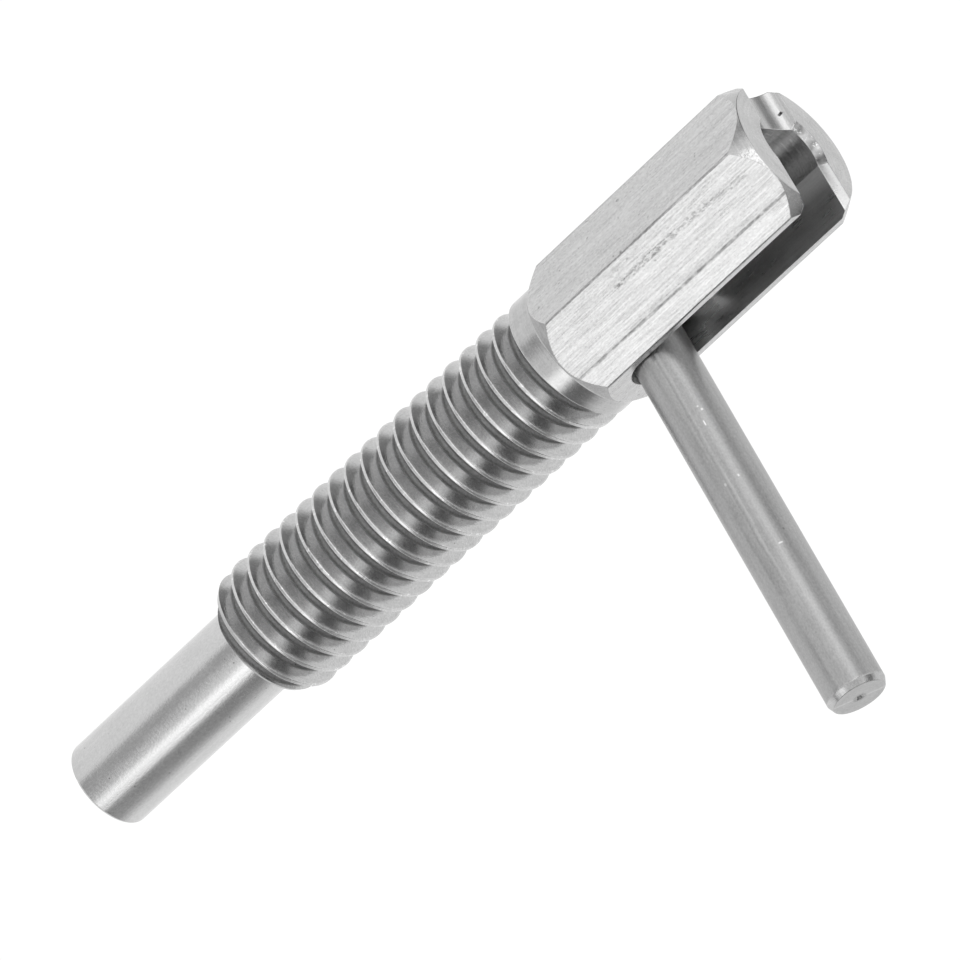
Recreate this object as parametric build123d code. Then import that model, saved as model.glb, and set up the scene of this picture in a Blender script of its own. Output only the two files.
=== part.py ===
from build123d import *
import math
import os

# Indexing plunger: a threaded hexagon body, a spring-loaded nose pin and a cross lever.
# Millimetres. +Z runs along the body's axis from nose to head, and the origin is the centre
# of the body's nose face. +X is the way the lever points, out through the slot.

# Body
BODY_LENGTH = 50.7
HEX_ACROSS_FLATS = 9.525
HEX_EDGE_RADIUS = 0.45
END_CHAMFER_ANGLE = 30.0          # every turned chamfer, measured from the axis
HEAD_RIM_RADIUS = 4.72            # where the head's chamfer meets its end face
NOSE_RIM_RADIUS = 4.0             # where the nose's chamfer meets the nose face

# External thread, 3/8-16
THREAD_MAJOR_RADIUS = 4.73
THREAD_PITCH = 1.5875
THREAD_DEPTH = 0.6134 * THREAD_PITCH
THREAD_CREST_FLAT = THREAD_PITCH / 8
THREAD_FLANK_ANGLE = 30.0
THREAD_LENGTH = 28.6              # nose face to the last full crest
THREAD_RUNOUT = 1.1               # past that, how far up the neck the groove ends
THREAD_PHASE_Z = 5.577            # height at which a groove crosses the XZ plane on the lever's side
THREAD_LEAD_IN_TURNS = 5          # turns from there down to the groove's start, below the nose
NECK_LENGTH = 2.54                # from the last full crest to the hexagon's chamfer

# Slot and rest notch in the head
SLOT_WIDTH = 4.37
SLOT_FLOOR = 32.95
SLOT_MOUTH_CHAMFER = 0.45
NOTCH_RADIUS = 2.0
NOTCH_CENTRE_ABOVE_RIM = 0.7

# Bore: pin bore and spring chamber, then a web with the rod's hole, then the head bore
PIN_BORE_RADIUS = 3.2
WEB_THICKNESS = 2.0
WEB_TOP_BELOW_SLOT = 1.45
HEAD_BORE_RADIUS = 2.4
BORE_MOUTH_CHAMFER = 0.45

# Nose pin
PIN_RADIUS = 3.175
PIN_PROJECTION = 15.7
PIN_INSIDE_LENGTH = 5.0
PIN_EDGE_BREAK = 0.2
GREASE_GROOVE_START = 0.15        # just inside the nose at rest
GREASE_GROOVE_WIDTH = 0.6
GREASE_GROOVE_DEPTH = 0.2

# Pull rod
SHANK_RADIUS = 1.6
SHANK_CLEARANCE = 0.05
SHANK_SEAT_DEPTH = 4.7            # length of shank pressed into the pin
HEAD_CLEARANCE = 0.05
HEAD_ABOVE_LEVER = 3.55
ROD_HEAD_EDGE_BREAK = 0.3
STOP_GAP = 0.02                   # rod's shoulder above the web at rest

# Lever
LEVER_RADIUS = 1.985
LEVER_FLOOR_GAP = 0.435           # lever's underside above the slot's floor at rest
LEVER_REACH = 30.38               # body axis to the lever's outer end
LEVER_TURN = -1.0                 # how far it stands turned in the slot, within the slot's play
LEVER_END_CHAMFER_LENGTH = 0.4
LEVER_END_CHAMFER_DEPTH = 0.22
LEVER_CENTRE_MARK_RADIUS = 0.3
SPIGOT_RADIUS = 1.2
SPIGOT_END_SETBACK = 0.35         # inner end of the spigot inside the rod's far wall
LEVER_SHOULDER_GAP = 0.05         # lever's shoulder off the rod's round side

# Spring
SPRING_WIRE_RADIUS = 0.3
SPRING_MEAN_RADIUS = 2.75
SPRING_TURNS = 10.5
SPRING_SEAT_GAP = 0.02

NECK_END = THREAD_LENGTH + NECK_LENGTH
WEB_TOP = SLOT_FLOOR - WEB_TOP_BELOW_SLOT
SPRING_CHAMBER_END = WEB_TOP - WEB_THICKNESS
LEVER_HEIGHT = SLOT_FLOOR + LEVER_FLOOR_GAP + LEVER_RADIUS
HEX_APOTHEM = HEX_ACROSS_FLATS / 2
CHAMFER_SLOPE = math.tan(math.radians(END_CHAMFER_ANGLE))
THREAD_ROOT_RADIUS = THREAD_MAJOR_RADIUS - THREAD_DEPTH


def rod(radius, z_low, z_high):
    """A plain round bar on the body's axis."""
    return Pos(0, 0, z_low) * Cylinder(radius, z_high - z_low, align=(Align.CENTER, Align.CENTER, Align.MIN))


def turned(points):
    """A solid of revolution from (radius, height) points, closed along the axis."""
    outline = Polyline(*[(radius, 0, height) for radius, height in points], close=True)
    return revolve(make_face(outline), Axis.Z)


def threaded_bar():
    """A bar at the major diameter with the groove cut in it. The groove starts and ends inside the bar."""
    start = THREAD_PHASE_Z - THREAD_PITCH * THREAD_LEAD_IN_TURNS
    height = THREAD_LENGTH + THREAD_RUNOUT - start
    overcut = 0.1
    slope = math.tan(math.radians(THREAD_FLANK_ANGLE))
    half_root = (THREAD_PITCH - THREAD_CREST_FLAT) / 2 - THREAD_DEPTH * slope
    half_mouth = half_root + (THREAD_DEPTH + overcut) * slope
    path = Helix(THREAD_PITCH, height, THREAD_ROOT_RADIUS, center=(0, 0, start))
    outline = Polyline(
        (THREAD_ROOT_RADIUS, 0, start - half_root),
        (THREAD_MAJOR_RADIUS + overcut, 0, start - half_mouth),
        (THREAD_MAJOR_RADIUS + overcut, 0, start + half_mouth),
        (THREAD_ROOT_RADIUS, 0, start + half_root),
        close=True,
    )
    groove = sweep(make_face(outline), path=path, is_frenet=True)
    return rod(THREAD_MAJOR_RADIUS, start - 2 * THREAD_PITCH, NECK_END + NECK_LENGTH) - groove


def nose_trim():
    """Everything below the nose face and outside the nose's chamfer."""
    reach = HEX_ACROSS_FLATS
    return turned([
        (0, -BODY_LENGTH),
        (reach, -BODY_LENGTH),
        (reach, (reach - NOSE_RIM_RADIUS) / CHAMFER_SLOPE),
        (NOSE_RIM_RADIUS, 0),
        (0, 0),
    ])


def hex_head():
    """The hexagon, trimmed by a chamfer cone at each end."""
    corner_reach = HEX_ACROSS_FLATS
    length = BODY_LENGTH - NECK_END
    section = RegularPolygon(HEX_APOTHEM, 6, major_radius=False, rotation=30)
    bar = Pos(0, 0, NECK_END) * extrude(section, length)
    bar = fillet(bar.edges().filter_by(Axis.Z), HEX_EDGE_RADIUS)
    envelope = turned([
        (0, NECK_END),
        (THREAD_MAJOR_RADIUS, NECK_END),
        (corner_reach, NECK_END + (corner_reach - THREAD_MAJOR_RADIUS) / CHAMFER_SLOPE),
        (corner_reach, BODY_LENGTH - (corner_reach - HEAD_RIM_RADIUS) / CHAMFER_SLOPE),
        (HEAD_RIM_RADIUS, BODY_LENGTH),
        (0, BODY_LENGTH),
    ])
    return bar & envelope


def bore():
    """The stepped bore: pin bore and spring chamber, web hole, head bore and its chamfered mouth."""
    past_end = 1.0
    mouth = HEAD_BORE_RADIUS + BORE_MOUTH_CHAMFER
    return turned([
        (0, -past_end),
        (PIN_BORE_RADIUS, -past_end),
        (PIN_BORE_RADIUS, SPRING_CHAMBER_END),
        (SHANK_RADIUS + SHANK_CLEARANCE, SPRING_CHAMBER_END),
        (SHANK_RADIUS + SHANK_CLEARANCE, WEB_TOP),
        (HEAD_BORE_RADIUS, WEB_TOP),
        (HEAD_BORE_RADIUS, BODY_LENGTH - BORE_MOUTH_CHAMFER),
        (mouth + past_end, BODY_LENGTH + past_end),
        (0, BODY_LENGTH + past_end),
    ])


def slot():
    """The lever's slot: one flat, round floor, open at the top, with chamfered top edges."""
    past_side = HEX_ACROSS_FLATS
    half = SLOT_WIDTH / 2
    past_end = 1.0
    floor_centre = SLOT_FLOOR + half
    outline = Plane.YZ * (
        Polyline(
            (-half, floor_centre),
            (-half, BODY_LENGTH - SLOT_MOUTH_CHAMFER),
            (-half - SLOT_MOUTH_CHAMFER - past_end, BODY_LENGTH + past_end),
            (half + SLOT_MOUTH_CHAMFER + past_end, BODY_LENGTH + past_end),
            (half, BODY_LENGTH - SLOT_MOUTH_CHAMFER),
            (half, floor_centre),
        )
        + RadiusArc((half, floor_centre), (-half, floor_centre), half)
    )
    return extrude(make_face(outline), past_side, dir=(1, 0, 0))


def rest_notch():
    """The half-round notch across the rim, opposite the slot."""
    centre = BODY_LENGTH + NOTCH_CENTRE_ABOVE_RIM
    length = HEX_ACROSS_FLATS
    cutter = Rotation(0, -90, 0) * Cylinder(NOTCH_RADIUS, length, align=(Align.CENTER, Align.CENTER, Align.MIN))
    return Pos(0, 0, centre) * cutter


def make_body():
    """Hexagon bar turned, threaded, bored, slotted and notched."""
    return threaded_bar() - nose_trim() + hex_head() - bore() - slot() - rest_notch()


def make_index_pin():
    """The nose pin, with a grease groove and a blind hole in its back end for the rod."""
    pin = rod(PIN_RADIUS, -PIN_PROJECTION, PIN_INSIDE_LENGTH)
    pin = chamfer(pin.edges().group_by(Axis.Z)[0], PIN_EDGE_BREAK)
    groove_end = GREASE_GROOVE_START + GREASE_GROOVE_WIDTH
    pin -= rod(PIN_RADIUS + 1, GREASE_GROOVE_START, groove_end) - rod(
        PIN_RADIUS - GREASE_GROOVE_DEPTH, GREASE_GROOVE_START, groove_end
    )
    hole_floor = PIN_INSIDE_LENGTH - SHANK_SEAT_DEPTH
    drill_tip = SHANK_RADIUS * CHAMFER_SLOPE
    return pin - turned([
        (0, hole_floor - drill_tip),
        (SHANK_RADIUS, hole_floor),
        (SHANK_RADIUS, PIN_INSIDE_LENGTH + 1),
        (0, PIN_INSIDE_LENGTH + 1),
    ])


def on_lever_axis(shape):
    """Lays a shape made along +Z on the lever's axis, where it stands at rest."""
    return Pos(0, 0, LEVER_HEIGHT) * Rotation(0, 0, LEVER_TURN) * Rotation(0, 90, 0) * shape


def make_pull_rod():
    """The rod: thin shank through spring and web, and a shouldered head bored for the lever."""
    head_radius = HEAD_BORE_RADIUS - HEAD_CLEARANCE
    head_low = WEB_TOP + STOP_GAP
    head = rod(head_radius, head_low, LEVER_HEIGHT + HEAD_ABOVE_LEVER)
    head = chamfer(head.edges().group_by(Axis.Z)[-1], ROD_HEAD_EDGE_BREAK)
    shank = rod(SHANK_RADIUS, PIN_INSIDE_LENGTH - SHANK_SEAT_DEPTH, head_low)
    cross_hole = on_lever_axis(Cylinder(SPIGOT_RADIUS, 4 * head_radius))
    return shank + head - cross_hole


def make_lever():
    """The cross lever: spigot in the rod, round bar, chamfered outer end with a centre mark."""
    head_radius = HEAD_BORE_RADIUS - HEAD_CLEARANCE
    inner_end = -head_radius + SPIGOT_END_SETBACK
    shoulder = head_radius + LEVER_SHOULDER_GAP
    profile = turned([
        (0, inner_end),
        (SPIGOT_RADIUS, inner_end),
        (SPIGOT_RADIUS, shoulder),
        (LEVER_RADIUS, shoulder),
        (LEVER_RADIUS, LEVER_REACH - LEVER_END_CHAMFER_LENGTH),
        (LEVER_RADIUS - LEVER_END_CHAMFER_DEPTH, LEVER_REACH),
        (LEVER_CENTRE_MARK_RADIUS, LEVER_REACH),
        (0, LEVER_REACH - LEVER_CENTRE_MARK_RADIUS),
    ])
    return on_lever_axis(profile)


def make_spring():
    """The compression spring between the pin's back end and the web, with ground ends."""
    low = PIN_INSIDE_LENGTH + SPRING_SEAT_GAP
    high = SPRING_CHAMBER_END - SPRING_SEAT_GAP
    path = Helix((high - low) / SPRING_TURNS, high - low, SPRING_MEAN_RADIUS, center=(0, 0, low))
    section = Plane(path @ 0, z_dir=path % 0) * Circle(SPRING_WIRE_RADIUS)
    coil = sweep(section, path=path, is_frenet=True)
    return coil & rod(PIN_BORE_RADIUS, low, high)


def main():
    pieces = {
        "body": make_body(),
        "index_pin": make_index_pin(),
        "pull_rod": make_pull_rod(),
        "lever": make_lever(),
        "spring": make_spring(),
    }
    os.makedirs("parts", exist_ok=True)
    for name, shape in pieces.items():
        solids = shape.solids()
        export_step(solids[0] if len(solids) == 1 else Compound(children=solids), f"parts/{name}.step")
        print(name, len(solids), round(shape.volume, 3), shape.bounding_box())


main()
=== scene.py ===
"""The looks of an indexing plunger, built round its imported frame.

Meshes are made in millimetres, and finish_mesh brings them to metres.
"""
import math

import bmesh
import bpy
from mathutils import Matrix, Vector


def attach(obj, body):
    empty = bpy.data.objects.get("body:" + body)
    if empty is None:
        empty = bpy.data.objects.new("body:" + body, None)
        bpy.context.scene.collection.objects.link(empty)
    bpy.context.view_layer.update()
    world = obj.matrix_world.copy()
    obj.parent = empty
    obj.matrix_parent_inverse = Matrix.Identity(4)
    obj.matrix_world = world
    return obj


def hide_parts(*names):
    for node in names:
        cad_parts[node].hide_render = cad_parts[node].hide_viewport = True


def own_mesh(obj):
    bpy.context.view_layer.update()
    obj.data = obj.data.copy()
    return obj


MM = 0.001

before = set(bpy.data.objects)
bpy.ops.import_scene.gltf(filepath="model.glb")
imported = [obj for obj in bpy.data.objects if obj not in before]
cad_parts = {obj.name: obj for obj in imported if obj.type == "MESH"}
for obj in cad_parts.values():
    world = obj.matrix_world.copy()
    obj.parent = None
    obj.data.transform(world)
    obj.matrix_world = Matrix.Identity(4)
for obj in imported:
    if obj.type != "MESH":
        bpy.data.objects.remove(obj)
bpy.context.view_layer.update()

# The body. Its sizes are those of the part's source, but for the two that say otherwise.
BODY_LENGTH = 50.7
HEX_APOTHEM = 4.7625
HEX_EDGE_RADIUS = 0.15            # sharper than in the CAD, where it is 0.45
CHAMFER_SLOPE = math.tan(math.radians(30.0))
HEAD_RIM_RADIUS = 4.72
NOSE_RIM_RADIUS = 4.0
MAJOR_RADIUS = 4.73
PITCH = 1.5875
THREAD_DEPTH = 0.6134 * PITCH
CREST_FLAT = PITCH / 8
FLANK_SLOPE = math.tan(math.radians(30.0))
THREAD_PHASE_Z = 5.461            # 0.12 lower than in the CAD
GROOVE_END_Z = 29.7
NECK_END = 31.14
SLOT_HALF = 2.185
SLOT_FLOOR = 32.95
SLOT_MOUTH_CHAMFER = 0.45
NOTCH_RADIUS = 2.0
NOTCH_CENTRE_Z = 51.4
PIN_BORE_RADIUS = 3.2
CHAMBER_END = 29.5
WEB_HOLE_RADIUS = 1.65
WEB_TOP = 31.5
HEAD_BORE_RADIUS = 2.4
BORE_MOUTH_CHAMFER = 0.45

PIN_RADIUS = 3.175
PIN_TIP = -15.7
PIN_TIP_ROUND = 0.2
PIN_TOP = 5.0
PIN_HOLE_RADIUS = 1.6
PIN_HOLE_FLOOR = 0.3
PIN_HOLE_POINT = -0.62
GREASE_GROOVE_LOW = 0.15
GREASE_GROOVE_HIGH = 0.75
GREASE_GROOVE_DEPTH = 0.2

LEVER_RADIUS = 1.985
LEVER_Z = 35.37
LEVER_TURN = -1.0                 # degrees about Z
LEVER_SPIGOT_RADIUS = 1.2
LEVER_INNER_END = -2.0
LEVER_SHOULDER = 2.4
LEVER_END = 30.38
CENTRE_MARK = 0.3                 # radius and depth

SPRING_LOW = 5.02
SPRING_HIGH = 29.48
SPRING_MEAN_RADIUS = 2.75
SPRING_WIRE_RADIUS = 0.3
SPRING_TURNS = 10.5

# How finely round forms are divided
ROUND_SIDES = 192
BORE_SIDES = 128
PIN_SIDES = 160
LEVER_SIDES = 128
NOTCH_SIDES = 96
HEX_EDGE_STEPS = 8
SLOT_END_STEPS = 32
SPRING_RINGS = 672
SPRING_SIDES = 16

REACH = 9.5                       # past the outside of the head, for the forms that cut it
PAST = 1.0                        # how far a cut goes past the surface that it opens

EDGE_BREAK = 0.05                 # width of the broken edges
SHARP = math.radians(22.0)        # an edge that turns by more than this is sharp
NEARLY_FLAT = math.radians(0.15)
SLIVER = 0.004                    # points nearer than this are one
DEGENERATE = 1e-4

# Material slots of the body's surfaces. A face that rounds an edge has ROUNDED added until the shading is done.
FLATS, TURNED, THREAD, MILLED, NOTCHED, BORED = range(6)
ROUNDED = 6


# ---------------------------------------------------------------- mesh helpers


def add_object(name, data):
    obj = bpy.data.objects.new(name, data)
    bpy.context.scene.collection.objects.link(obj)
    return obj


def from_lists(name, verts, faces, slots, merge=1e-5):
    """A closed mesh with one material slot for each face, with coinciding points merged."""
    mesh = bpy.data.meshes.new(name)
    mesh.from_pydata(verts, [], faces)
    bm = bmesh.new()
    bm.from_mesh(mesh)
    for face, slot in zip(bm.faces, slots):
        face.material_index = slot
    bmesh.ops.remove_doubles(bm, verts=bm.verts, dist=merge)
    bmesh.ops.dissolve_degenerate(bm, edges=bm.edges, dist=1e-5)
    bmesh.ops.holes_fill(bm, edges=[e for e in bm.edges if e.is_boundary], sides=0)
    bmesh.ops.recalc_face_normals(bm, faces=bm.faces)
    bm.to_mesh(mesh)
    bm.free()
    for material in PLACEHOLDERS:
        mesh.materials.append(material)
    return add_object(name, mesh)


def lathe(name, profile, sides, slot=0, roundings=()):
    """Turns (radius, height) points about Z. The profile starts and ends on the axis.

    roundings: the runs between its points, counted from 0, that round an edge between two surfaces.
    """
    verts = []
    faces = []
    slots = []
    inner = profile[1:-1]
    for r, z in inner:
        for i in range(sides):
            a = 2 * math.pi * i / sides
            verts.append((r * math.cos(a), r * math.sin(a), z))
    for row in range(len(inner) - 1):
        for i in range(sides):
            j = (i + 1) % sides
            faces.append((row * sides + i, row * sides + j, (row + 1) * sides + j, (row + 1) * sides + i))
            slots.append(slot + ROUNDED if row + 1 in roundings else slot)
    bottom = len(verts)
    verts.append((0, 0, profile[0][1]))
    top = len(verts)
    verts.append((0, 0, profile[-1][1]))
    last = (len(inner) - 1) * sides
    for i in range(sides):
        j = (i + 1) % sides
        faces.append((bottom, j, i))
        faces.append((top, last + i, last + j))
        slots += [slot, slot]
    return from_lists(name, verts, faces, slots)


def prism(name, outline, place, slot, is_rounding=lambda side: False):
    """Sweeps a closed (u, v) outline between two ends; place(u, v, end) gives the point."""
    count = len(outline)
    verts = [place(u, v, end) for end in (0, 1) for u, v in outline]
    faces = [tuple(range(count)), tuple(range(count, 2 * count))]
    slots = [slot, slot]
    for i in range(count):
        j = (i + 1) % count
        faces.append((i, j, count + j, count + i))
        slots.append(slot + ROUNDED if is_rounding(i) else slot)
    return from_lists(name, verts, faces, slots)


def arc_points(cx, cy, radius, start, end, steps):
    """Points on an arc between two angles in degrees, both ends among them."""
    out = []
    for i in range(steps + 1):
        a = math.radians(start + (end - start) * i / steps)
        out.append((cx + radius * math.cos(a), cy + radius * math.sin(a)))
    return out


def combine(target, other, operation):
    """Boolean with the manifold solver, applied at once; the other object is used up."""
    mod = target.modifiers.new("combine", "BOOLEAN")
    mod.operation = operation
    mod.solver = "MANIFOLD"
    mod.object = other
    bpy.context.view_layer.update()
    graph = bpy.context.evaluated_depsgraph_get()
    mesh = bpy.data.meshes.new_from_object(target.evaluated_get(graph))
    target.modifiers.remove(mod)
    target.data = mesh
    bpy.data.objects.remove(other)


# ---------------------------------------------------------------- the shapes


def groove_profile(depth):
    """(offset from the groove's centre, radius) points over one pitch, for a groove of this depth."""
    share = depth / THREAD_DEPTH
    half_root = (PITCH - CREST_FLAT) / 2 - THREAD_DEPTH * FLANK_SLOPE
    half_mouth = half_root + depth * FLANK_SLOPE
    root = MAJOR_RADIUS - depth
    root_round = 0.2 * share
    crest_round = 0.075 * share
    half_turn = math.tan(math.radians(30.0))
    # From the middle of the root up one flank to the end of the crest's rounding
    side = [(0.0, root)]
    centre = half_root - root_round * half_turn
    for a in (0.0, 20.0, 40.0, 60.0):
        t = math.radians(a)
        side.append((centre + root_round * math.sin(t), root + root_round * (1 - math.cos(t))))
    centre = half_mouth + crest_round * half_turn
    for a in (60.0, 30.0, 0.0):
        t = math.radians(a)
        side.append((centre - crest_round * math.sin(t), MAJOR_RADIUS - crest_round * (1 - math.cos(t))))
    down = [(-s, r) for s, r in reversed(side[1:])]
    return down + side


# The runs of that profile that round nothing: flank, both halves of the root, flank, and crest
PLAIN_RUNS = {2, 6, 7, 11, 14}


def thread_bar():
    """The threaded shank, whose groove gets shallower over a third of a turn at its upper end."""
    low = -1.6
    high = NECK_END + 1.0
    end_angle = 2 * math.pi * (GROOVE_END_Z - THREAD_PHASE_Z) / PITCH
    taper = math.radians(120.0)
    turns = range(-6, 18)             # more than the bar's length needs, at both ends
    columns = []
    for i in range(ROUND_SIDES + 1):
        theta = 2 * math.pi * i / ROUND_SIDES
        column = []
        for k in turns:
            angle = theta + 2 * math.pi * k
            left = (end_angle - angle) / taper
            depth = THREAD_DEPTH * max(0.0, min(1.0, left))
            centre = THREAD_PHASE_Z + PITCH * angle / (2 * math.pi)
            for s, r in groove_profile(depth):
                z = centre + s
                if z <= low or z >= high:
                    z = min(max(z, low), high)
                    r = MAJOR_RADIUS
                column.append((r * math.cos(theta), r * math.sin(theta), z))
        columns.append(column)
    rows = len(columns[0])
    points = rows // len(turns)
    verts = [v for column in columns for v in column]
    faces = []
    slots = []
    for i in range(ROUND_SIDES):
        for j in range(rows - 1):
            a = i * rows + j
            b = (i + 1) * rows + j
            faces.append((a, b, b + 1, a + 1))
            slots.append(THREAD if j % points in PLAIN_RUNS else THREAD + ROUNDED)
    return from_lists("thread", verts, faces, slots, merge=2e-4)


def hex_outline():
    points = []
    corner = (HEX_APOTHEM - HEX_EDGE_RADIUS) / math.cos(math.radians(30.0))
    for k in range(6):
        a = 30.0 + 60.0 * k
        cx = corner * math.cos(math.radians(a))
        cy = corner * math.sin(math.radians(a))
        points += arc_points(cx, cy, HEX_EDGE_RADIUS, a - 30.0, a + 30.0, HEX_EDGE_STEPS)
    return points


def slot_outline():
    """The slot's round floor, its walls, and the chamfer at its mouth."""
    centre = SLOT_FLOOR + SLOT_HALF
    points = arc_points(0.0, centre, SLOT_HALF, 180.0, 360.0, SLOT_END_STEPS)
    points += [
        (SLOT_HALF, BODY_LENGTH - SLOT_MOUTH_CHAMFER),
        (SLOT_HALF + SLOT_MOUTH_CHAMFER + PAST, BODY_LENGTH + PAST),
        (-SLOT_HALF - SLOT_MOUTH_CHAMFER - PAST, BODY_LENGTH + PAST),
        (-SLOT_HALF, BODY_LENGTH - SLOT_MOUTH_CHAMFER),
    ]
    return points


def body_mesh():
    bar = thread_bar()
    nose = lathe("nose", [
        (0, 0.0),
        (NOSE_RIM_RADIUS, 0.0),
        (REACH, (REACH - NOSE_RIM_RADIUS) / CHAMFER_SLOPE),
        (REACH, BODY_LENGTH),
        (0, BODY_LENGTH),
    ], ROUND_SIDES, TURNED)
    combine(bar, nose, "INTERSECT")
    ends = (NECK_END - 0.5, BODY_LENGTH + 0.5)
    head = prism(
        "head",
        hex_outline(),
        lambda u, v, end: (u, v, ends[end]),
        FLATS,
        lambda side: side % (HEX_EDGE_STEPS + 1) != HEX_EDGE_STEPS,
    )
    envelope = lathe("envelope", [
        (0, NECK_END),
        (MAJOR_RADIUS, NECK_END),
        (REACH, NECK_END + (REACH - MAJOR_RADIUS) / CHAMFER_SLOPE),
        (REACH, BODY_LENGTH - (REACH - HEAD_RIM_RADIUS) / CHAMFER_SLOPE),
        (HEAD_RIM_RADIUS, BODY_LENGTH),
        (0, BODY_LENGTH),
    ], ROUND_SIDES, TURNED)
    combine(head, envelope, "INTERSECT")
    combine(head, bar, "UNION")
    hole = lathe("hole", [
        (0, -PAST),
        (PIN_BORE_RADIUS, -PAST),
        (PIN_BORE_RADIUS, CHAMBER_END),
        (WEB_HOLE_RADIUS, CHAMBER_END),
        (WEB_HOLE_RADIUS, WEB_TOP),
        (HEAD_BORE_RADIUS, WEB_TOP),
        (HEAD_BORE_RADIUS, BODY_LENGTH - BORE_MOUTH_CHAMFER),
        (HEAD_BORE_RADIUS + BORE_MOUTH_CHAMFER + PAST, BODY_LENGTH + PAST),
        (0, BODY_LENGTH + PAST),
    ], BORE_SIDES, BORED)
    combine(head, hole, "DIFFERENCE")
    cutter = prism(
        "cutter",
        slot_outline(),
        lambda u, v, end: (end * REACH, u, v),
        MILLED,
        lambda side: side < SLOT_END_STEPS,
    )
    combine(head, cutter, "DIFFERENCE")
    notch_outline = arc_points(0.0, NOTCH_CENTRE_Z, NOTCH_RADIUS, 0.0, 360.0, NOTCH_SIDES)[:-1]
    notch = prism("notch", notch_outline, lambda u, v, end: (-end * REACH, u, v), NOTCHED)
    combine(head, notch, "DIFFERENCE")
    head.name = "steel_body"
    return head


def pin_mesh():
    """The pin, with its rounded tip, its grease groove and the blind hole for the rod."""
    tip_radius = PIN_RADIUS - PIN_TIP_ROUND
    groove_radius = PIN_RADIUS - GREASE_GROOVE_DEPTH
    profile = [
        (0, PIN_TIP),
        (tip_radius, PIN_TIP),
        *arc_points(tip_radius, PIN_TIP + PIN_TIP_ROUND, PIN_TIP_ROUND, -70.0, 0.0, 4),
        (PIN_RADIUS, GREASE_GROOVE_LOW),
        (groove_radius, GREASE_GROOVE_LOW),
        (groove_radius, GREASE_GROOVE_HIGH),
        (PIN_RADIUS, GREASE_GROOVE_HIGH),
        (PIN_RADIUS, PIN_TOP),
        (PIN_HOLE_RADIUS, PIN_TOP),
        (PIN_HOLE_RADIUS, PIN_HOLE_FLOOR),
        (0, PIN_HOLE_POINT),
    ]
    return lathe("nose_pin", profile, PIN_SIDES, roundings=range(1, 6))


def lever_mesh():
    """The lever, with its pressed spigot, and a chamfer and a centre mark at its outer end."""
    lever = lathe("cross_lever", [
        (0, LEVER_INNER_END),
        (LEVER_SPIGOT_RADIUS, LEVER_INNER_END),
        (LEVER_SPIGOT_RADIUS, LEVER_SHOULDER),
        (LEVER_RADIUS, LEVER_SHOULDER),
        (LEVER_RADIUS, 29.9),
        (1.95, 30.0),
        (1.8, 30.33),
        (1.74, LEVER_END),
        (CENTRE_MARK, LEVER_END),
        (0, LEVER_END - CENTRE_MARK),
    ], LEVER_SIDES, roundings=(4, 6))
    place = (
        Matrix.Translation((0, 0, LEVER_Z))
        @ Matrix.Rotation(math.radians(LEVER_TURN), 4, "Z")
        @ Matrix.Rotation(math.radians(90), 4, "Y")
    )
    for vert in lever.data.vertices:
        vert.co = place @ vert.co
    return lever


def spring_mesh():
    """The compression spring with its ends ground flat, as a mesh of its own that can shorten with the slide."""
    verts = []
    for i in range(SPRING_RINGS + 1):
        angle = 2 * math.pi * SPRING_TURNS * i / SPRING_RINGS
        middle = SPRING_LOW + (SPRING_HIGH - SPRING_LOW) * i / SPRING_RINGS
        for j in range(SPRING_SIDES):
            b = 2 * math.pi * j / SPRING_SIDES
            r = SPRING_MEAN_RADIUS + SPRING_WIRE_RADIUS * math.cos(b)
            z = min(max(middle + SPRING_WIRE_RADIUS * math.sin(b), SPRING_LOW), SPRING_HIGH)
            verts.append((r * math.cos(angle), r * math.sin(angle), z))
    faces = []
    for i in range(SPRING_RINGS):
        a = i * SPRING_SIDES
        b = a + SPRING_SIDES
        for j in range(SPRING_SIDES):
            k = (j + 1) % SPRING_SIDES
            faces.append((a + j, b + j, b + k, a + k))
    faces.append(tuple(range(SPRING_SIDES)))
    faces.append(tuple(reversed(range(SPRING_RINGS * SPRING_SIDES, (SPRING_RINGS + 1) * SPRING_SIDES))))
    return from_lists("coil_spring", verts, faces, [0] * len(faces), merge=1e-4)


# ---------------------------------------------------------------- broken edges and shading


def sharp_edges(bm, region):
    bm.normal_update()
    return [
        edge for edge in bm.edges
        if len(edge.link_faces) == 2 and edge.calc_face_angle() > SHARP and region(edge)
    ]


def weld_corners(bm, region, reach):
    """Takes vertices close to a corner of the sharp edges into it, so that a bevel has room there."""
    for _ in range(3):
        count = {}
        for edge in sharp_edges(bm, region):
            for vert in edge.verts:
                count[vert] = count.get(vert, 0) + 1
        corners = {vert for vert in count if count[vert] > 2}
        moves = {}
        for corner in sorted(corners, key=lambda v: v.index):
            for edge in corner.link_edges:
                other = edge.other_vert(corner)
                if edge.calc_length() < reach and other not in corners and other not in moves:
                    moves[other] = corner
        if not moves:
            break
        bmesh.ops.weld_verts(bm, targetmap=moves)
        bmesh.ops.dissolve_degenerate(bm, edges=bm.edges, dist=DEGENERATE)
        bm.verts.index_update()


def draw_back(bm, is_thrown):
    """Welds the points that a bevel has thrown clear of the surface to the nearest ones that it hasn't."""
    for _ in range(4):
        moves = {}
        for vert in (v for v in bm.verts if is_thrown(v)):
            others = [edge.other_vert(vert) for edge in vert.link_edges]
            others = [other for other in others if not is_thrown(other)]
            if others:
                moves[vert] = min(others, key=lambda other: (other.co - vert.co).length)
        if not moves:
            break
        bmesh.ops.weld_verts(bm, targetmap=moves)
        bmesh.ops.dissolve_degenerate(bm, edges=bm.edges, dist=DEGENERATE)


def axis_distance(vert):
    return math.hypot(vert.co.x, vert.co.y)


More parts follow.
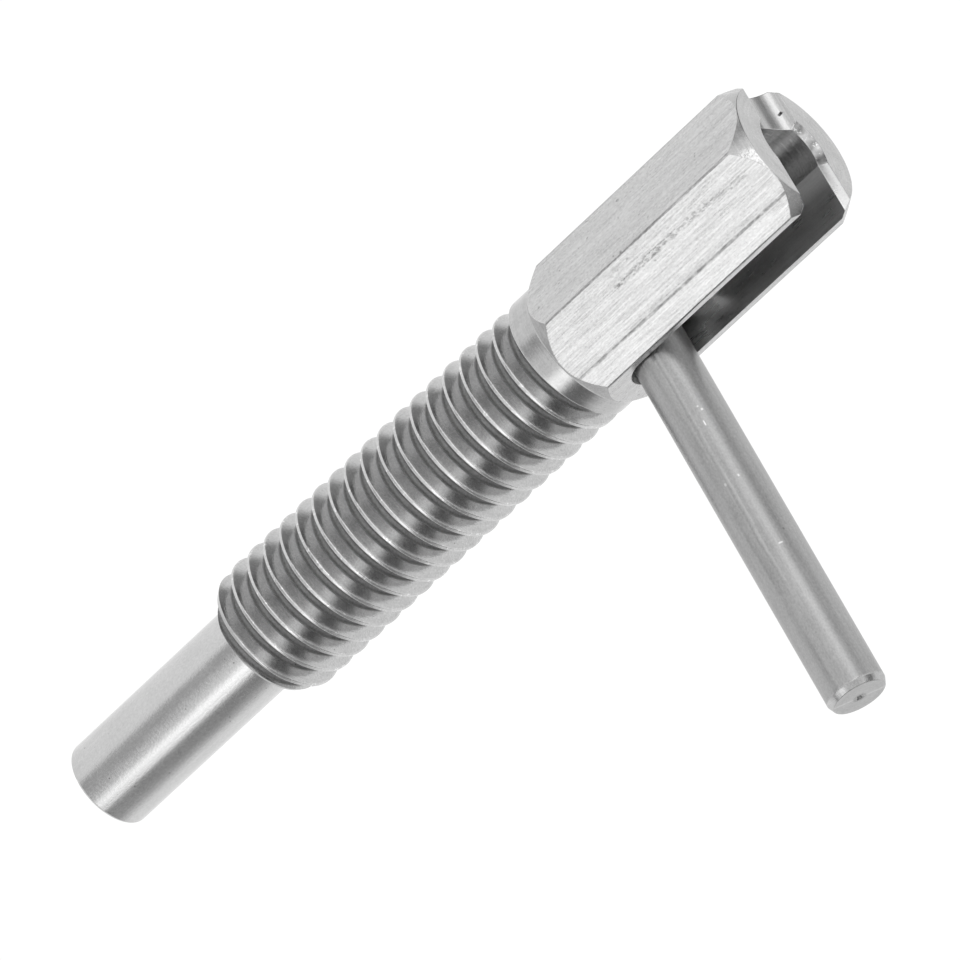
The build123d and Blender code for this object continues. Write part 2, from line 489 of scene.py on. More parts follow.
def in_head_bore(vert):
    return vert.co.z > WEB_TOP + 0.1 and axis_distance(vert) < HEAD_BORE_RADIUS - 0.03


def rounded_edge(edge):
    """The edges of the head and of the nose's rim, but none of the thread, the neck or the bores."""
    kinds = {face.material_index for face in edge.link_faces}
    on_shank = any(1.0 < v.co.z < NECK_END - 0.05 for v in edge.verts)
    if THREAD in kinds or kinds == {MILLED, BORED} or on_shank:
        return False
    return all(axis_distance(v) > HEAD_BORE_RADIUS - 0.1 for v in edge.verts)


def corner_normals(bm, rounding):
    """A normal for each face corner, in the mesh's order.

    It is that of the surfaces that meet there without an edge between them. The faces that round an edge don't tilt
    it: they only blend from one surface's normal to the other's.
    """
    bm.normal_update()
    smooth = math.cos(math.radians(24.0))
    rounded = math.cos(math.radians(40.0))
    corners = {}
    for face in bm.faces:
        for loop in face.loops:
            corners.setdefault(loop.vert.index, []).append((face.normal, loop.calc_angle(), face[rounding]))
    normals = []
    for face in bm.faces:
        for loop in face.loops:
            surfaces = Vector()
            edges = Vector()
            for normal, angle, is_edge in corners[loop.vert.index]:
                if face.normal.dot(normal) > (rounded if is_edge or face[rounding] else smooth):
                    if is_edge:
                        edges += normal * angle
                    else:
                        surfaces += normal * angle
            normals.append((surfaces if surfaces.length > 1e-3 else edges).normalized())
    return normals


def break_edges(bm, rounding, region):
    """Rounds the sharp edges of the region to EDGE_BREAK, and tags the new faces."""
    bmesh.ops.remove_doubles(bm, verts=bm.verts, dist=SLIVER)
    bmesh.ops.dissolve_degenerate(bm, edges=bm.edges, dist=DEGENERATE)
    weld_corners(bm, region, 1.6 * EDGE_BREAK)
    bmesh.ops.dissolve_limit(
        bm,
        angle_limit=NEARLY_FLAT,
        verts=bm.verts,
        edges=bm.edges,
        delimit={"MATERIAL"},
    )
    bevelled = bmesh.ops.bevel(
        bm,
        geom=sharp_edges(bm, region),
        offset=EDGE_BREAK,
        offset_type="OFFSET",
        segments=2,
        profile=0.5,
        affect="EDGES",
        clamp_overlap=False,
        material=-1,
    )
    for face in bevelled["faces"]:
        face[rounding] = 1
    draw_back(bm, in_head_bore)
    bmesh.ops.triangulate(bm, faces=[f for f in bm.faces if len(f.verts) > 4])


def finish_mesh(obj, region=None):
    """Breaks the sharp edges of the region, if one is given, shades smooth, and scales to metres."""
    bm = bmesh.new()
    bm.from_mesh(obj.data)
    rounding = bm.faces.layers.int.new("rounding")
    for face in bm.faces:
        if face.material_index >= ROUNDED:
            face.material_index -= ROUNDED
            face[rounding] = 1
        # Past the groove's end the shank is plain, and only turned
        is_plain = min(axis_distance(v) for v in face.verts) > MAJOR_RADIUS - 0.01
        if face.material_index == THREAD and is_plain and face.calc_center_median().z > GROOVE_END_Z:
            face.material_index = TURNED
    if region:
        break_edges(bm, rounding, region)
    for face in bm.faces:
        face.smooth = True
    bmesh.ops.scale(bm, vec=(MM, MM, MM), verts=bm.verts)
    bm.verts.index_update()
    normals = corner_normals(bm, rounding)
    bm.faces.layers.int.remove(rounding)
    bm.to_mesh(obj.data)
    bm.free()
    obj.data.normals_split_custom_set(normals)


def dress(obj, materials):
    """Puts the finished materials in place of the placeholders, with each face's slot kept."""
    slots = [face.material_index for face in obj.data.polygons]
    obj.data.materials.clear()
    for material in materials:
        obj.data.materials.append(material)
    obj.data.polygons.foreach_set("material_index", slots)


# ---------------------------------------------------------------- camera

# The camera of the photograph: its axes, its place in millimetres, and its focal length in pixels of a 960 pixel frame
CAMERA_AXES = (
    Vector((0.46133, 0.60561, 0.64839)),
    Vector((-0.79864, -0.03485, 0.60079)),
    Vector((0.38644, -0.79500, 0.46760)),
)
CAMERA_PLACE = Vector((218.635, -445.455, 281.652))
FOCAL_PIXELS = 8978.1
FRAME_PIXELS = 960.0
SENSOR_WIDTH = 36.0


def add_camera():
    data = bpy.data.cameras.new("camera")
    data.sensor_width = SENSOR_WIDTH
    data.lens = FOCAL_PIXELS / FRAME_PIXELS * SENSOR_WIDTH
    data.clip_start = 0.01
    data.clip_end = 10.0
    obj = add_object("camera", data)
    obj.matrix_world = Matrix.Translation(CAMERA_PLACE * MM) @ Matrix(CAMERA_AXES).transposed().to_4x4()
    bpy.context.scene.camera = obj


# ---------------------------------------------------------------- steels


def add_node(tree, kind, inputs=None, output=0, **settings):
    """Adds a shader node and gives one of its outputs. Inputs may be sockets or plain values."""
    node = tree.nodes.new("ShaderNode" + kind)
    for key, value in settings.items():
        setattr(node, key, value)
    for socket, value in (inputs or {}).items():
        if isinstance(value, bpy.types.NodeSocket):
            tree.links.new(value, node.inputs[socket])
        else:
            node.inputs[socket].default_value = value
    return node.outputs[output]


class Steel:
    """The nodes of one steel. Lengths are in millimetres, and inputs may be sockets or plain numbers.

    Noise lies round 0.5. A mark is a mask that goes from 0 to 1.
    """

    def __init__(self, name):
        self.material = bpy.data.materials.new(name)
        self.material.use_nodes = True
        self.tree = self.material.node_tree
        self.shader = self.tree.nodes["Principled BSDF"]
        self.shader.inputs["Metallic"].default_value = 1.0
        coordinates = self.add("TexCoord", output="Object")
        self.place = self.add("VectorMath", {0: coordinates, "Scale": 1 / MM}, operation="SCALE")
        self.x, self.y, self.z = (self.add("SeparateXYZ", {0: self.place}, output=axis) for axis in range(3))
        self.radius = self.length(self.x, self.y)

    def add(self, kind, inputs=None, output=0, **settings):
        return add_node(self.tree, kind, inputs, output, **settings)

    def math(self, operation, *values):
        return self.add("Math", dict(enumerate(values)), operation=operation)

    def total(self, start, *terms):
        """start plus amount times (value less centre), for each (value, amount, centre)."""
        value = start - sum(amount * centre for _, amount, centre in terms)
        for socket, amount, _ in terms:
            value = self.math("MULTIPLY_ADD", socket, amount, value)
        return value

    def product(self, first, *others):
        for other in others:
            first = self.math("MULTIPLY", first, other)
        return first

    def length(self, first, second):
        squares = self.math("ADD", self.math("MULTIPLY", first, first), self.math("MULTIPLY", second, second))
        return self.math("SQRT", squares)

    def fade(self, value, start, end, low=0.0, high=1.0):
        """Goes smoothly from low to high as the value goes from start to end."""
        if start > end:
            start, end, low, high = end, start, high, low
        inputs = {"Value": value, "From Min": start, "From Max": end, "To Min": low, "To Max": high}
        return self.add("MapRange", inputs, interpolation_type="SMOOTHSTEP")

    def window(self, value, centre, half, soft=0.5):
        """1 near the centre, falling to 0 at the given half width over the soft share of it."""
        distance = self.math("ABSOLUTE", self.math("SUBTRACT", value, centre))
        return self.fade(distance, half * (1 - soft), half, 1.0, 0.0)

    def near_flat(self):
        """The place across the flat that faces -60 degrees, from its middle, and the distance out from the axis."""
        across = self.math("ADD", self.product(self.x, 0.8660), self.product(self.y, 0.5))
        outward = self.math("ADD", self.product(self.x, 0.5), self.product(self.y, -0.8660))
        return across, outward

    def stretched(self, a, b, c):
        """The place with its three coordinates scaled, for a texture drawn out along one of them."""
        return self.add("VectorMath", {0: self.place, 1: (a, b, c)}, operation="MULTIPLY")

    def turned(self, around, along):
        """Coordinates for marks that run round the Z axis, on cylinders, cones and end faces."""
        ring = self.math("MULTIPLY_ADD", self.radius, -0.5, self.z)
        inputs = {
            0: self.math("MULTIPLY", self.x, around),
            1: self.math("MULTIPLY", self.y, around),
            2: self.math("MULTIPLY", ring, along),
        }
        return self.add("CombineXYZ", inputs)

    def noise(self, vector, detail=2.0, roughness=0.5):
        inputs = {"Vector": vector, "Scale": 1.0, "Detail": detail, "Roughness": roughness}
        return self.add("TexNoise", inputs)

    def specks(self, vector, size, share):
        """Small round marks in this share of the cells of a unit grid; size is their radius."""
        inputs = {"Vector": vector, "Scale": 1.0}
        distance = self.add("TexVoronoi", inputs, output="Distance")
        colour = self.add("TexVoronoi", inputs, output="Color")
        chosen = self.math("LESS_THAN", self.add("SeparateColor", {0: colour}), share)
        return self.product(self.fade(distance, 0.4 * size, size, 1.0, 0.0), chosen)

    def worn(self, start, end):
        """1 on outside edges, where handling has polished them."""
        return self.fade(self.add("NewGeometry", output="Pointiness"), start, end)

    def finish(self, tone, roughness, height, depth):
        """tone and roughness as drawn; height from 0 to 1 over this depth."""
        self.tree.links.new(self.math("MAXIMUM", tone, 0.02), self.shader.inputs["Base Color"])
        self.tree.links.new(self.math("MAXIMUM", roughness, 0.05), self.shader.inputs["Roughness"])
        bump = self.add("Bump", {"Strength": 1.0, "Distance": depth * MM, "Height": height})
        self.tree.links.new(bump, self.shader.inputs["Normal"])
        return self.material


def turned_steel():
    """Neck, cones and end faces, as the lathe left them, with painted shade on the cone under the hexagon and a
    painted highlight on the top chamfer.
    """
    s = Steel("turned_steel")
    fine = s.noise(s.turned(0.3, 11.0), 3.0, 0.6)
    broad = s.noise(s.turned(0.25, 2.4), 2.0)
    cloud = s.noise(s.stretched(1.1, 1.1, 1.1), 4.0, 0.6)
    grain = s.noise(s.stretched(7.0, 7.0, 7.0), 4.0, 0.65)
    specks = s.specks(s.stretched(2.6, 2.6, 2.6), 0.13, 0.10)
    nose = s.fade(s.z, 1.2, 1.5, 1.0, 0.0)
    neck = s.product(s.fade(s.z, 29.6, 29.9), s.fade(s.z, 33.0, 32.0))
    # Painted shade: the cone under the hexagon is darkened to look like the dark thread that it reflects.
    painted_shoulder_shade = s.product(s.fade(s.z, 31.1, 31.3), s.fade(s.z, 33.5, 33.0))
    # Torn metal left along the top of the near flat, also lightened there as a painted highlight on the chamfer
    across, outward = s.near_flat()
    top = s.product(s.window(across, -0.9, 1.6, 0.4), s.fade(outward, 4.30, 4.45), s.fade(s.z, 49.2, 49.5),
                    s.fade(s.z, 50.66, 50.60))
    torn_metal_and_painted_highlight = s.product(top, s.fade(s.noise(s.stretched(5.0, 5.0, 5.0), 4.0, 0.7), 0.40, 0.56))
    worn = s.worn(0.53, 0.62)
    tone = s.total(0.52, (fine, 0.16, 0.5), (broad, 0.10, 0.5), (cloud, 0.16, 0.5), (grain, 0.26, 0.5),
                   (specks, -0.12, 0.0), (nose, -0.14, 0.0), (neck, -0.03, 0.0), (painted_shoulder_shade, -0.14, 0.0),
                   (torn_metal_and_painted_highlight, 0.34, 0.0), (worn, 0.10, 0.0))
    rough = s.total(0.24, (fine, 0.08, 0.5), (cloud, 0.10, 0.5), (grain, 0.14, 0.5), (neck, -0.06, 0.0),
                    (nose, -0.05, 0.0), (torn_metal_and_painted_highlight, 0.20, 0.0), (worn, -0.04, 0.0))
    height = s.total(0.5, (fine, 0.6, 0.5), (broad, 0.6, 0.5), (grain, 0.4, 0.5), (torn_metal_and_painted_highlight, 1.2, 0.0))
    return s.finish(tone, rough, height, 0.004)


def thread_steel():
    """Cut thread: grained flanks, dull roots darkened with painted shade, and brighter crests with nicks."""
    s = Steel("thread_steel")
    crest = s.fade(s.radius, 4.60, 4.68)
    # Painted shade: the groove roots are darkened for the shade that falls deep in the groove; their higher roughness
    # is their own.
    root = s.fade(s.radius, 4.05, 3.88)
    fine = s.noise(s.stretched(0.5, 0.5, 13.0), 3.0, 0.6)
    grain = s.noise(s.stretched(8.0, 8.0, 8.0), 4.0, 0.65)
    cloud = s.noise(s.stretched(0.8, 0.8, 0.8), 3.0)
    nicks = s.fade(s.noise(s.stretched(3.0, 3.0, 3.0), 3.0), 0.60, 0.66)
    bright = s.product(nicks, crest, s.fade(s.z, 28.9, 28.5))
    dark = s.specks(s.stretched(2.3, 2.3, 2.3), 0.17, 0.10)
    tone = s.total(0.53, (crest, 0.07, 0.0), (root, -0.24, 0.0), (fine, 0.10, 0.5), (grain, 0.45, 0.5),
                   (cloud, 0.16, 0.5), (bright, 0.18, 0.0), (dark, -0.2, 0.0))
    rough = s.total(0.17, (crest, 0.03, 0.0), (root, 0.50, 0.0), (grain, 0.20, 0.5), (cloud, 0.12, 0.5),
                    (bright, -0.04, 0.0))
    height = s.total(0.5, (fine, 1.4, 0.5), (grain, 0.8, 0.5), (bright, -0.4, 0.0), (dark, -0.4, 0.0))
    return s.finish(tone, rough, height, 0.004)


def drawn_steel():
    """The flats of the cold-drawn hexagon, with lines along it, and the marks of the near flat."""
    s = Steel("drawn_steel")
    lines = s.noise(s.stretched(9.0, 9.0, 0.35), 3.0, 0.6)
    broad = s.noise(s.stretched(1.6, 1.6, 0.12), 2.0)
    grain = s.noise(s.stretched(9.0, 9.0, 4.5), 4.0, 0.65)
    cloud = s.noise(s.stretched(0.6, 0.6, 0.4), 3.0)
    # Painted reflection: the rounded corners of the hexagon are darkened for the dark line that their reflection shows
    # between the flats.
    corner = s.fade(s.radius, 5.425, 5.45)
    across, outward = s.near_flat()
    here = s.fade(outward, 4.60, 4.70)
    wobble = s.noise(s.stretched(0.0, 0.0, 0.5), 2.0)
    gaps = s.fade(s.noise(s.stretched(2.0, 2.0, 1.3), 3.0), 0.36, 0.56)
    # A drawn seam, with brighter steel beyond it
    seam_at = s.total(0.91, (s.z, 0.0086, 0.0), (wobble, 0.10, 0.5))
    offset = s.math("SUBTRACT", across, seam_at)
    seam = s.product(s.window(offset, 0.0, 0.14, 0.7), s.total(0.30, (gaps, 0.50, 0.0)), here)
    beside = s.product(s.window(offset, -0.25, 0.30, 0.8), s.fade(s.z, 34.5, 37.0), gaps, here)
    beyond = s.product(s.fade(offset, -0.02, 0.08), here)
    # A streak of pits, and a fainter one nearer to the flat's other edge
    dips = s.fade(s.noise(s.stretched(6.0, 6.0, 3.0), 3.0, 0.7), 0.48, 0.56)
    bend = s.fade(s.z, 44.0, 49.5, 0.0, 0.30)
    reach = s.product(s.fade(s.z, 36.9, 38.0), s.fade(s.z, 49.8, 49.0), s.fade(s.z, 47.5, 43.0, 0.7, 1.0))
    off_streak = s.math("ADD", across, s.total(1.44, (bend, -1.0, 0.0), (wobble, -0.20, 0.5)))
    streak = s.product(s.window(off_streak, 0.0, 0.32, 0.7), reach)
    aside = s.product(s.window(s.math("SUBTRACT", across, -2.05), 0.0, 0.5, 0.8), reach, 0.30)
    pitted = s.product(s.math("MAXIMUM", streak, aside), dips, here)
    # Marks over all the flats, and a rubbed look that only the near one has
    stray = s.fade(s.noise(s.stretched(1.7, 1.7, 1.2), 2.0), 0.715, 0.735)
    blotch = s.noise(s.stretched(2.4, 2.4, 1.2), 4.0, 0.7)
    scuffed = s.product(s.total(0.0, (grain, 0.10, 0.5), (lines, 0.35, 0.5), (blotch, 0.13, 0.5)), here)
    tone = s.total(0.575, (lines, 0.36, 0.5), (broad, 0.16, 0.5), (grain, 0.55, 0.5), (cloud, 0.08, 0.5),
                   (seam, -0.32, 0.0), (beside, -0.06, 0.0), (beyond, 0.03, 0.0), (pitted, -0.20, 0.0),
                   (stray, -0.2, 0.0), (corner, -0.15, 0.0), (scuffed, 1.0, 0.0))
    rough = s.total(0.31, (lines, 0.20, 0.5), (grain, 0.30, 0.5), (cloud, 0.06, 0.5), (seam, 0.1, 0.0),
                    (corner, -0.15, 0.0))
    height = s.total(0.6, (lines, 0.7, 0.5), (grain, 0.7, 0.5), (seam, -0.8, 0.0), (pitted, -0.9, 0.0),
                     (stray, -0.8, 0.0))
    return s.finish(tone, rough, height, 0.005)


def milled_steel(name, lines, level, dullness, pit_at=None):
    """Cut by a side cutter or an end mill, with lines along the given stretch, and perhaps one pit at an x and y."""
    s = Steel(name)
    marks = s.noise(s.stretched(*lines), 3.0, 0.6)
    grain = s.noise(s.stretched(9.0, 9.0, 9.0), 3.0, 0.6)
    cloud = s.noise(s.stretched(0.8, 0.8, 0.8), 3.0)
    dark = s.specks(s.stretched(1.9, 1.9, 1.9), 0.14, 0.12)
    worn = s.worn(0.53, 0.62)
    tones = [(marks, 0.22, 0.5), (grain, 0.16, 0.5), (cloud, 0.12, 0.5), (dark, -0.05, 0.0), (worn, 0.15, 0.0)]
    heights = [(marks, 0.8, 0.5), (grain, 0.5, 0.5), (dark, -0.3, 0.0)]
    if pit_at:
        off_x = s.math("SUBTRACT", s.x, pit_at[0])
        off_y = s.math("SUBTRACT", s.y, pit_at[1])
        along = s.total(0.0, (off_x, -0.45, 0.0), (off_y, 1.41, 0.0))
        aside = s.total(0.0, (off_x, 0.89, 0.0), (off_y, 0.71, 0.0))
        pit = s.product(s.window(along, 0.0, 0.20), s.window(aside, 0.0, 0.11))
        tones.append((pit, -0.45, 0.0))
        heights.append((pit, -1.0, 0.0))
    rough = s.total(dullness, (marks, 0.14, 0.5), (cloud, 0.10, 0.5))
    return s.finish(s.total(level, *tones), rough, s.total(0.5, *heights), 0.005)


def bored_steel():
    """Drilled, with rings round the hole and short bright arcs, and a mouth chamfer that chattered."""
    s = Steel("bored_steel")
    rings = s.noise(s.turned(0.5, 7.0), 3.0, 0.6)
    arcs = s.fade(s.noise(s.turned(0.9, 4.0), 2.0), 0.58, 0.68)
    cloud = s.noise(s.stretched(0.9, 0.9, 0.9), 3.0)
    grain = s.noise(s.stretched(6.0, 6.0, 6.0), 4.0, 0.65)
    mouth = s.fade(s.z, 50.20, 50.28)
    chatter = s.product(s.total(0.0, (s.noise(s.stretched(1.3, 1.3, 0.0), 1.0), 1.0, 0.5)), mouth)
    flecks = s.product(s.fade(s.noise(s.stretched(4.0, 4.0, 4.0), 2.0), 0.60, 0.66), mouth)
    tone = s.total(0.47, (rings, 0.24, 0.5), (cloud, 0.16, 0.5), (grain, 0.30, 0.5), (arcs, 0.10, 0.0),
                   (chatter, 1.6, 0.0), (flecks, 0.40, 0.0))
    rough = s.total(0.34, (rings, 0.14, 0.5), (cloud, 0.10, 0.5))
    height = s.total(0.5, (rings, 1.0, 0.5), (arcs, 0.5, 0.0), (chatter, 1.5, 0.0))
    return s.finish(tone, rough, height, 0.008)


def ground_steel():
    """The pin: ground bright, with fine rings, rubbed streaks along it and a few specks."""
    s = Steel("ground_steel")
    fine = s.noise(s.turned(1.2, 13.0), 3.0, 0.6)
    rubbed = s.noise(s.stretched(3.0, 3.0, 0.25), 3.0)
    grain = s.noise(s.stretched(7.0, 7.0, 5.0), 4.0, 0.65)
    cloud = s.noise(s.stretched(0.6, 0.6, 0.35), 4.0, 0.6)
    dark = s.specks(s.stretched(1.7, 1.7, 1.5), 0.13, 0.14)
    light = s.specks(s.stretched(3.3, 3.3, 2.9), 0.16, 0.16)
    worn = s.worn(0.53, 0.60)
    tone = s.total(0.575, (fine, 0.05, 0.5), (rubbed, 0.06, 0.5), (grain, 0.24, 0.5), (cloud, 0.10, 0.5),
                   (dark, -0.26, 0.0), (light, 0.06, 0.0), (worn, 0.12, 0.0))
    rough = s.total(0.16, (grain, 0.16, 0.5), (rubbed, 0.10, 0.5), (cloud, 0.14, 0.5))
    height = s.total(0.5, (fine, 0.3, 0.5), (grain, 1.3, 0.5), (dark, -0.5, 0.0), (light, 0.3, 0.0))
    return s.finish(tone, rough, height, 0.004)


# Marks on the lever: distance along it, angle round it in degrees, their half sizes, and tone
LEVER_MARKS = (
    (9.6, 136.8, 0.10, 0.10, 0.30),
    (9.3, 141.0, 0.08, 0.08, 0.22),
    (10.5, 145.0, 0.26, 0.06, 0.40),
    (14.6, 139.5, 0.12, 0.08, 0.25),
    (14.7, 168.0, 0.14, 0.10, 0.20),
    (19.8, 134.3, 0.08, 0.20, 0.30),
    (19.0, 115.5, 0.10, 0.08, -0.15),
    (5.0, 166.0, 0.30, 0.20, -0.14),
)


def lever_steel():
    """Drawn rod, satin, with lines along it, one long scratch and a few nicks."""
    s = Steel("satin_steel")
    # The place in the lever's section, from its middle
    side = s.total(0.0, (s.y, 1.0, 0.0), (s.x, math.tan(math.radians(-LEVER_TURN)), 0.0))
    rise = s.math("SUBTRACT", s.z, LEVER_Z)
    angle = s.product(s.math("ARCTAN2", rise, side), 180.0 / math.pi)
    section_radius = s.length(side, rise)
    lines = s.noise(s.stretched(0.25, 6.0, 6.0), 3.0, 0.6)
    broad = s.noise(s.stretched(0.10, 1.4, 1.4), 2.0)
    grain = s.noise(s.stretched(6.0, 9.0, 9.0), 4.0, 0.65)
    cloud = s.noise(s.stretched(0.35, 0.7, 0.7), 3.0)
    wobble = s.noise(s.stretched(0.30, 0.0, 0.0), 2.0)
    # The long scratch, light with a darker line beside it
    scratch_at = s.total(158.0, (wobble, 7.0, 0.5), (s.x, 0.22, 7.0))
    off_scratch = s.math("SUBTRACT", angle, scratch_at)
    length = s.fade(s.x, 25.0, 20.0)
    scratch = s.product(s.window(off_scratch, 0.0, 3.4, 0.8), length)
    beside = s.product(s.window(off_scratch, 6.0, 3.0, 0.8), length)
    marks = None
    for along, around, half_along, half_around, tone in LEVER_MARKS:
        mark = s.product(
            s.window(s.x, along, half_along, 0.6),
            s.window(angle, around, math.degrees(half_around / LEVER_RADIUS), 0.6),
            tone,
        )
        marks = mark if marks is None else s.math("ADD", marks, mark)
    # The outer end: rings on its face, a dark ring round the centre mark, and a patchy chamfer
    end = s.fade(s.x, 30.28, 30.34)
    around_dimple = s.product(s.window(section_radius, 0.36, 0.14, 0.8), end)
    rings = s.product(s.noise(s.add("CombineXYZ", {0: s.math("MULTIPLY", section_radius, 5.0)}), 2.0), end)
    rim = s.product(s.fade(s.x, 29.80, 29.95), s.fade(s.x, 30.36, 30.28))
    patches = s.product(s.noise(s.stretched(0.6, 1.1, 1.1), 2.0), rim)
    worn = s.worn(0.53, 0.60)
    tone = s.total(0.44, (lines, 0.14, 0.5), (broad, 0.08, 0.5), (grain, 0.30, 0.5), (cloud, 0.08, 0.5),
                   (scratch, 0.06, 0.0), (beside, -0.06, 0.0), (marks, 1.0, 0.0), (rim, -0.18, 0.0),
                   (patches, 0.45, 0.0), (around_dimple, -0.12, 0.0), (rings, 0.10, 0.5), (worn, 0.08, 0.0))
    rough = s.total(0.36, (lines, 0.12, 0.5), (grain, 0.18, 0.5), (cloud, 0.08, 0.5), (rim, -0.14, 0.0))
    height = s.total(0.5, (lines, 0.8, 0.5), (grain, 0.9, 0.5), (scratch, -0.4, 0.0), (marks, -1.0, 0.0))
    return s.finish(tone, rough, height, 0.005)


def rod_steel():
    """The rod inside: turned, a little stained."""
    s = Steel("rod_steel")
    fine = s.noise(s.turned(0.5, 9.0), 3.0, 0.6)
    cloud = s.noise(s.stretched(0.8, 0.8, 0.5), 3.0)
    specks = s.specks(s.stretched(2.4, 2.4, 2.0), 0.15, 0.15)
    worn = s.worn(0.53, 0.62)
    tone = s.total(0.46, (fine, 0.14, 0.5), (cloud, 0.14, 0.5), (specks, -0.16, 0.0), (worn, 0.12, 0.0))
    rough = s.total(0.30, (fine, 0.12, 0.5), (cloud, 0.12, 0.5))
    return s.finish(tone, rough, s.total(0.5, (fine, 1.0, 0.5), (specks, -1.0, 0.0)), 0.005)


def spring_steel():
    """Music wire: dark and smooth, with die lines and a touch of oil."""
    s = Steel("wire_steel")
    lines = s.noise(s.stretched(2.0, 2.0, 14.0), 2.0)
    cloud = s.noise(s.stretched(1.1, 1.1, 1.1), 3.0)
    specks = s.specks(s.stretched(4.0, 4.0, 4.0), 0.2, 0.2)
    tone = s.total(0.34, (lines, 0.10, 0.5), (cloud, 0.14, 0.5), (specks, -0.1, 0.0))
    rough = s.total(0.26, (lines, 0.08, 0.5), (cloud, 0.14, 0.5))
    return s.finish(tone, rough, s.total(0.5, (lines, 0.8, 0.5), (specks, -1.0, 0.0)), 0.003)


# ---------------------------------------------------------------- light

# The directions that the cards are set out by, as seen from the near side: right, up and towards the camera
CARD_AXES = (
    Vector((0.46947, 0.60111, 0.64673)),
    Vector((-0.79671, -0.02732, 0.60374)),
    Vector((0.38058, -0.79870, 0.46609)),
)
CARD_CENTRE = Vector((0.0, 0.0, 17.0)) * MM
CARD_DISTANCE = 0.30

# The cards: direction towards each, direction along it, half length and half width in degrees, level, density, and
# the share of each half that fades out
CARDS = {
    "flag_left": ((-0.833, -0.431, 0.346), (-0.24, 0.97, -0.03), 68, 10.8, 0.22, 0.63, 0.52),
    "flag_right": ((0.327, -0.678, 0.658), (0.53, 0.76, 0.38), 41, 31.5, 0.0, 0.52, 0.32),
    "flag_below": ((0.068, -0.975, 0.212), (0.97, 0.12, 0.22), 21, 48, 0.07, 0.70, 0.91),
    "flag_side": ((0.919, -0.133, 0.371), (-0.19, 0.92, 0.33), 31, 19.5, 0.0, 1.0, 0.55),
    "flag_above": ((0.039, 0.97, 0.241), (0.885, 0.075, -0.46), 40, 18.2, 0.0, 0.61, 0.49),
    "softbox": ((-0.363, -0.67, 0.647), (0.03, 0.56, 0.83), 33, 16.2, 1.9, 1.0, 0.86),
    "softbox_front": ((0.028, 0.56, 0.828), (0.02, 0.88, -0.48), 38, 11, 1.9, 1.0, 0.42),
    "flag_top": ((0.173, 0.984, -0.03), (0.972, -0.12, -0.2), 23, 35, 0.0, 0.71, 0.50),
}

FLOOR_Z = -56.0 * MM
FLOOR_HALF = 3.0


def card_direction(amounts):
    right, up, back = CARD_AXES
    return (right * amounts[0] + up * amounts[1] + back * amounts[2]).normalized()


def add_card(name, towards, along, half_length, half_width, level, density, soft):
    """A soft-edged card that only reflections see: grey or black to flag the steel, or bright as a softbox."""
    towards = card_direction(towards)
    along = card_direction(along)
    along = (along - along.dot(towards) * towards).normalized()
    across = along.cross(towards)
    mesh = bpy.data.meshes.new(name)
    mesh.from_pydata([(-1, -1, 0), (1, -1, 0), (1, 1, 0), (-1, 1, 0)], [], [(0, 1, 2, 3)])
    obj = add_object(name, mesh)
    reach_along = math.tan(math.radians(half_length)) * CARD_DISTANCE
    reach_across = math.tan(math.radians(half_width)) * CARD_DISTANCE
    obj.matrix_world = (
        Matrix.Translation(CARD_CENTRE + towards * CARD_DISTANCE)
        @ Matrix((along, across, towards)).transposed().to_4x4()
        @ Matrix.Diagonal((reach_along, reach_across, 1, 1))
    )
    material = bpy.data.materials.new(name)
    material.use_nodes = True
    tree = material.node_tree
    tree.nodes.clear()
    place = add_node(tree, "TexCoord", output="Object")
    fades = []
    for axis, most in ((0, density), (1, 1.0)):
        side = add_node(tree, "SeparateXYZ", {0: place}, output=axis)
        distance = add_node(tree, "Math", {0: side}, operation="ABSOLUTE")
        inputs = {"Value": distance, "From Min": 1.0 - soft, "From Max": 1.0, "To Min": most, "To Max": 0.0}
        fades.append(add_node(tree, "MapRange", inputs, interpolation_type="SMOOTHSTEP"))
    mask = add_node(tree, "Math", {0: fades[0], 1: fades[1]}, operation="MULTIPLY")
    clear = add_node(tree, "BsdfTransparent")
    glow = add_node(tree, "Emission", {"Color": (1, 1, 1, 1), "Strength": level})
    mix = add_node(tree, "MixShader", {0: mask, 1: clear, 2: glow})
    end = tree.nodes.new("ShaderNodeOutputMaterial")
    tree.links.new(mix, end.inputs[0])
    material.cycles.emission_sampling = "NONE"
    mesh.materials.append(material)
    obj.visible_camera = False
    obj.visible_diffuse = False
    obj.visible_shadow = False


def add_light():
    world = bpy.data.worlds.new("white_room")
    bpy.context.scene.world = world
    world.use_nodes = True
    background = world.node_tree.nodes["Background"]
    background.inputs["Color"].default_value = (1, 1, 1, 1)
    background.inputs["Strength"].default_value = 1.0
    for name, row in CARDS.items():
        add_card(name, *row)


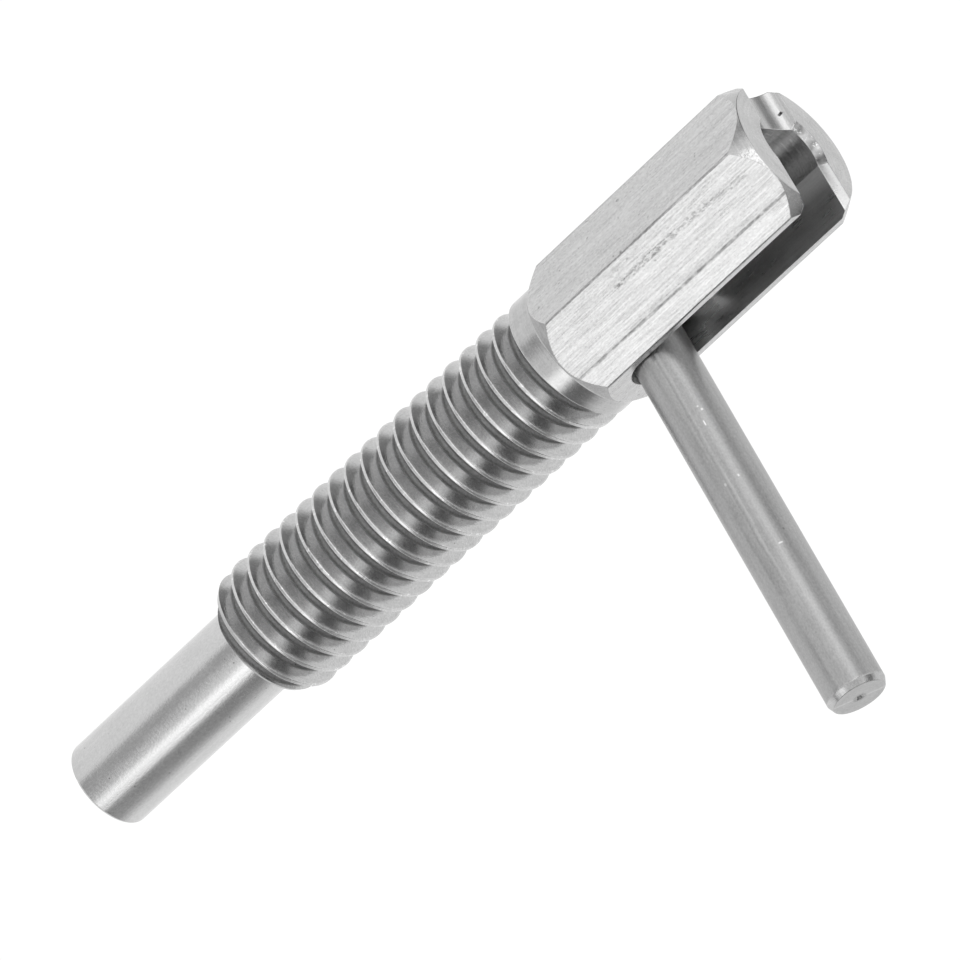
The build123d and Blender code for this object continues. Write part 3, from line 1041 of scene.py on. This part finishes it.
def add_floor():
    mesh = bpy.data.meshes.new("floor")
    half = FLOOR_HALF
    corners = [(-half, -half, FLOOR_Z), (half, -half, FLOOR_Z), (half, half, FLOOR_Z), (-half, half, FLOOR_Z)]
    mesh.from_pydata(corners, [], [(0, 1, 2, 3)])
    floor = add_object("floor", mesh)
    material = bpy.data.materials.new("floor_paper")
    material.use_nodes = True
    shader = material.node_tree.nodes["Principled BSDF"]
    shader.inputs["Base Color"].default_value = (0.9, 0.9, 0.9, 1)
    shader.inputs["Roughness"].default_value = 1.0
    shader.inputs["Specular IOR Level"].default_value = 0.0
    shader.inputs["Emission Color"].default_value = (1, 1, 1, 1)
    shader.inputs["Emission Strength"].default_value = 0.14
    material.cycles.emission_sampling = "NONE"
    mesh.materials.append(material)
    floor.visible_glossy = False


# ---------------------------------------------------------------- the part

add_camera()
add_light()
add_floor()
bpy.context.scene.view_settings.view_transform = "Standard"

# In the order of the body's slots
BODY_STEELS = [
    drawn_steel(),
    turned_steel(),
    thread_steel(),
    milled_steel("slotted_steel", (7.0, 7.0, 0.35), 0.70, 0.30),
    milled_steel("notched_steel", (0.30, 7.0, 7.0), 0.50, 0.22, (-3.05, 1.57)),
    bored_steel(),
]
# They carry the slots through the booleans
PLACEHOLDERS = [bpy.data.materials.new(f"slot_{k}") for k in range(2 * ROUNDED)]

body = body_mesh()
finish_mesh(body, rounded_edge)
dress(body, BODY_STEELS)
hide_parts("body")
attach(body, "body")

pin = pin_mesh()
finish_mesh(pin)
dress(pin, [ground_steel()])
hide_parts("index_pin")
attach(pin, "plunger")

lever = lever_mesh()
finish_mesh(lever)
dress(lever, [lever_steel()])
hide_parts("lever")
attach(lever, "plunger")

spring = spring_mesh()
finish_mesh(spring)
dress(spring, [spring_steel()])
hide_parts("spring")
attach(spring, "body")
# It is pressed against the web as the pin comes up
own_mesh(spring)

rod_material = rod_steel()
for material_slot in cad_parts["pull_rod"].material_slots:
    material_slot.material = rod_material

for placeholder in PLACEHOLDERS:
    bpy.data.materials.remove(placeholder)
